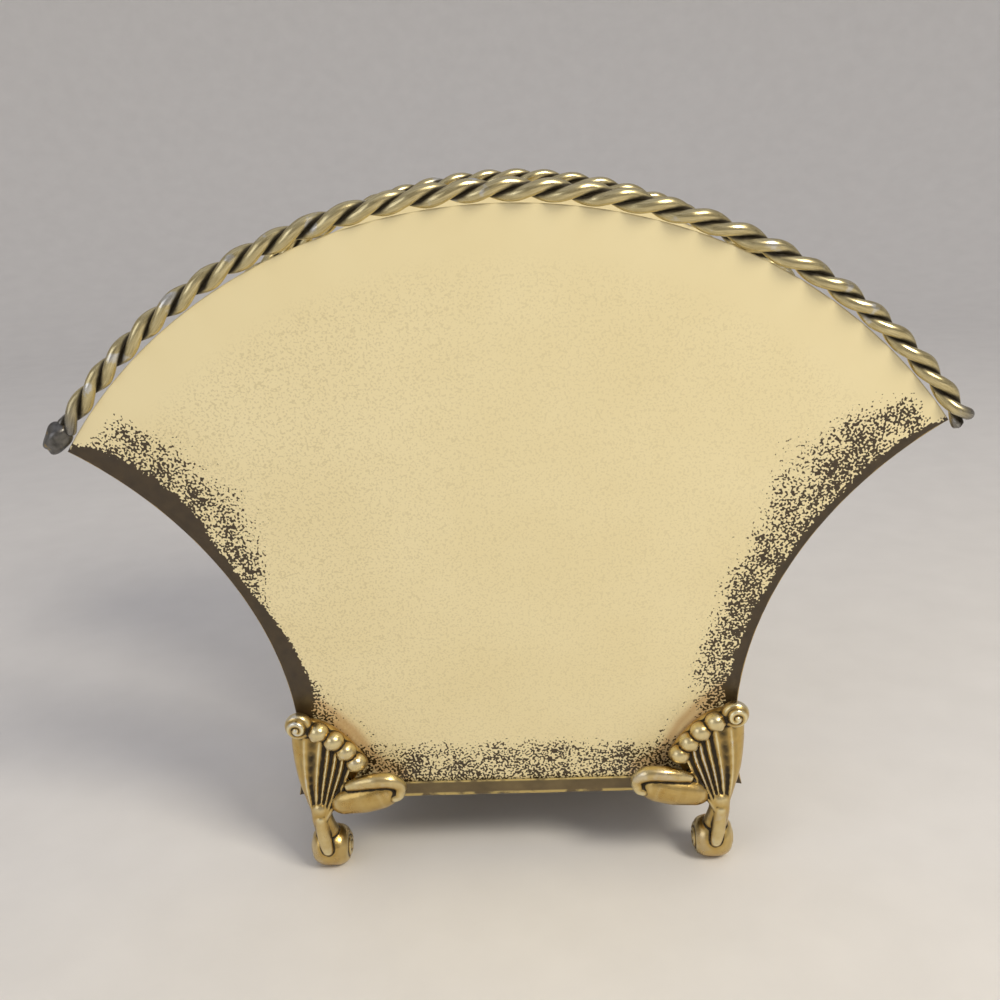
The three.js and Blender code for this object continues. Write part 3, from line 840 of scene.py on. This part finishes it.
def foot_parts():
    """Every part of one foot as (points, quads, triangles) in its own axes."""
    parts = [leaf()]
    parts.append(knob(KNOBS[0], 3.3, (3.05, 3.15, 2.9), swirl=0.5))
    for (a, up), size in zip(KNOBS[1:], (1.0, 1.02, 1.0, 1.0)):
        lean_in = np.array([0.78, -0.62])
        tip = np.array([a, up]) + lean_in * 0.6
        root = np.array([a, up]) - lean_in * 0.2 - [1.1, 1.9]
        parts.append(tube([(*root, 3.4), (a, up, 4.1), (*tip, 2.4)], [1.5 * size, 2.3 * size, 2.1 * size]))
        parts.append(tube([(a - 1.6, up - 1.5, 4.7), (a + 0.2, up - 0.2, 5.0), (a + 1.5, up + 0.6, 3.6)],
                          [0.8, 1.15, 0.9], steps=40))
    behind_knobs = [(*KNOBS[0], 2.6), *[(*k, 2.0) for k in KNOBS[1:]], (8.6, 8.6, 2.0)]
    parts.append(tube(behind_knobs, [2.0, 1.8, 1.8, 1.6]))
    lobe = [(0.4, -0.8, 4.0), (4.0, 0.9, 4.2), (8.0, 2.0, 4.4), (12.0, 3.2, 4.2), (16.0, 4.4, 3.8)]
    parts.append(tube(lobe, [2.4, 3.3, 3.9, 4.1, 3.2], flat=0.92))
    parts.append(tube([(4.2, 4.9, 4.6), (7.4, 6.4, 5.5), (11.0, 7.3, 5.9), (14.4, 7.2, 5.7), (16.5, 5.5, 5.4),
                       (16.2, 3.2, 5.9), (14.3, 2.6, 6.6)], [1.1, 1.6, 1.85, 1.8, 1.5, 1.2, 0.9], steps=110))
    parts.append(tube([(-1.6, 1.5, 3.9), (-2.0, -2.6, 4.6), (-1.7, -6.0, 4.2), (-1.2, -10.0, 3.0)],
                      [2.6, 2.3, 2.5, 3.0]))
    parts.append(toe())
    parts.append(tube([(-2.0, -1.6, 5.8), (-1.9, -5.0, 6.2), (-1.6, -8.0, 7.0), (-1.2, -10.4, 7.4),
                       (-1.0, -12.4, 7.2)], [1.4, 1.5, 1.5, 1.35, 1.0]))
    return parts


def fused(parts, voxel):
    """The parts' common skin: their meshes are stacked, remeshed on a voxel grid and smoothed twice."""
    points, faces, first = [], [], 0
    for part_points, quads, triangles in parts:
        points.append(part_points)
        faces += [quads + first, triangles + first]
        first += len(part_points)
    wax = bpy.data.objects.new("wax", make_mesh("wax", np.vstack(points), faces))
    bpy.context.scene.collection.objects.link(wax)
    skin = wax.modifiers.new("skin", "REMESH")
    skin.mode, skin.voxel_size = "VOXEL", voxel * MM
    calm = wax.modifiers.new("calm", "SMOOTH")
    calm.factor, calm.iterations = 0.5, 2
    cast = bpy.data.meshes.new_from_object(wax.evaluated_get(bpy.context.evaluated_depsgraph_get()))
    bpy.data.objects.remove(wax)
    points = np.empty(len(cast.vertices) * 3)
    cast.vertices.foreach_get("co", points)
    quads = np.empty(len(cast.loops), int)
    cast.loops.foreach_get("vertex_index", quads)
    edges = np.empty(len(cast.edges) * 2, int)
    cast.edges.foreach_get("vertices", edges)
    normals = np.empty(len(cast.vertices) * 3)
    cast.vertex_normals.foreach_get("vector", normals)
    return points.reshape(-1, 3) / MM, quads.reshape(-1, 4), edges.reshape(-1, 2), normals.reshape(-1, 3)


def hollowness(points, edges, normals, rounds):
    """How sunken each point is, in mm: how far a copy relaxed for some rounds moved out along the normal."""
    count = np.bincount(edges.ravel(), minlength=len(points))[:, None]
    relaxed = points.copy()
    for _ in range(rounds):
        total = np.stack([np.bincount(edges[:, 0], relaxed[edges[:, 1], axis], len(points))
                          + np.bincount(edges[:, 1], relaxed[edges[:, 0], axis], len(points))
                          for axis in range(3)], -1)
        relaxed = 0.5 * relaxed + 0.5 * total / count
    return ((relaxed - points) * normals).sum(1)


# %% Casting the four feet
FOOT_INSET, FOOT_VOXEL = 7.7, 0.24
BROAD_ROUNDS, FINE_ROUNDS = 30, 6
FOOT_X = HALF_BASE - FOOT_INSET
foot_points, foot_quads, foot_edges, foot_normals = fused(foot_parts(), FOOT_VOXEL)
recess = hollowness(foot_points, foot_edges, foot_normals, BROAD_ROUNDS)
fine_recess = hollowness(foot_points, foot_edges, foot_normals, FINE_ROUNDS)
print("one foot:", len(foot_points), "points, hollowness", recess.min().round(2), "to", recess.max().round(2))


def stand_foot(mirror, facing):
    """Foot axes to the row frame: x = mirror (a - FOOT_X), y follows the leaning face less out, z = up."""
    a, up, out = foot_points.T
    y = HINGE_Y - up * np.tan(LEAN) - out
    return np.stack([facing * mirror * (a - FOOT_X), facing * y, np.maximum(HINGE_Z + up, 0)], -1)


# Brass casting, gilt-lacquered and rubbed by hand. Pale gold crests with a few silvery spots, partly rubbed
# bare metal and partly painted highlight; warm brown-gold flanks; and hollows painted nearly black, partly
# old wax and partly painted shade.
gilt_casting, tree, surface = new_material("gilt_casting_with_painted_light")
place = add(tree, "TexCoord").outputs["Object"]
broad, fine = attribute(tree, "recess"), attribute(tree, "fine_recess")
worn_patch = noise(tree, place, 3.0, 4.0)
gold = blend_colours(tree, worn_patch, linear("a98238"), linear("dcc483"))
# Painted highlight and rubbing: convex crests turn pale gold, and some of them get silvery spots.
crest = step_between(tree, sums(tree, "MULTIPLY", broad, -1.0), 0.02, 0.22)
gold = blend_colours(tree, crest, gold, linear("f3e9bd"))
bare_metal_and_glint = sums(tree, "MULTIPLY", step_between(tree, noise(tree, place, 5.5, 3.0), 0.55, 0.64), crest)
gold = blend_colours(tree, sums(tree, "MULTIPLY", bare_metal_and_glint, 0.8), gold, linear("dcdedd"))
# Painted shade and old wax: the colour darkens to nearly black where the skin is sunken, broadly and finely.
sunk = sums(tree, "ADD", sums(tree, "MULTIPLY", broad, 3.2), sums(tree, "MULTIPLY", fine, 9.0))
sunk = sums(tree, "ADD", sunk, sums(tree, "MULTIPLY", worn_patch, 0.5))
wax_and_painted_shade = step_between(tree, sunk, 0.18, 0.80)
tint = blend_colours(tree, wax_and_painted_shade, gold, linear("2a200c"))
metallic = add(tree, "MapRange", {"Value": wax_and_painted_shade, "To Min": 1.0, "To Max": 0.45}).outputs[0]
dull = add(tree, "MapRange", {"Value": sums(tree, "ADD", wax_and_painted_shade, worn_patch), "From Max": 1.6,
                              "To Min": 0.20, "To Max": 0.50}).outputs[0]
pits = sums(tree, "MULTIPLY", noise(tree, place, 0.4, 2.0), 0.4)
skin_relief = sums(tree, "ADD", noise(tree, place, 1.3, 4.0), pits)
bump = add(tree, "Bump", {"Height": skin_relief, "Distance": 0.12 * MM, "Strength": 0.5})
shader = add(tree, "BsdfPrincipled", {
    "Base Color": tint, "Metallic": metallic, "Roughness": dull, "Normal": bump.outputs[0]})
tree.links.new(shader.outputs[0], surface)

for node, mirror, facing in (("front_left_foot", 1, 1), ("front_right_foot", -1, 1),
                             ("rear_right_foot", 1, -1), ("rear_left_foot", -1, -1)):
    quads = foot_quads if mirror == 1 else foot_quads[:, ::-1]
    mesh = make_mesh("cast_" + node, stand_foot(mirror, facing), [quads],
                     {"recess": recess, "fine_recess": fine_recess})
    make_piece(mesh, gilt_casting, [node])
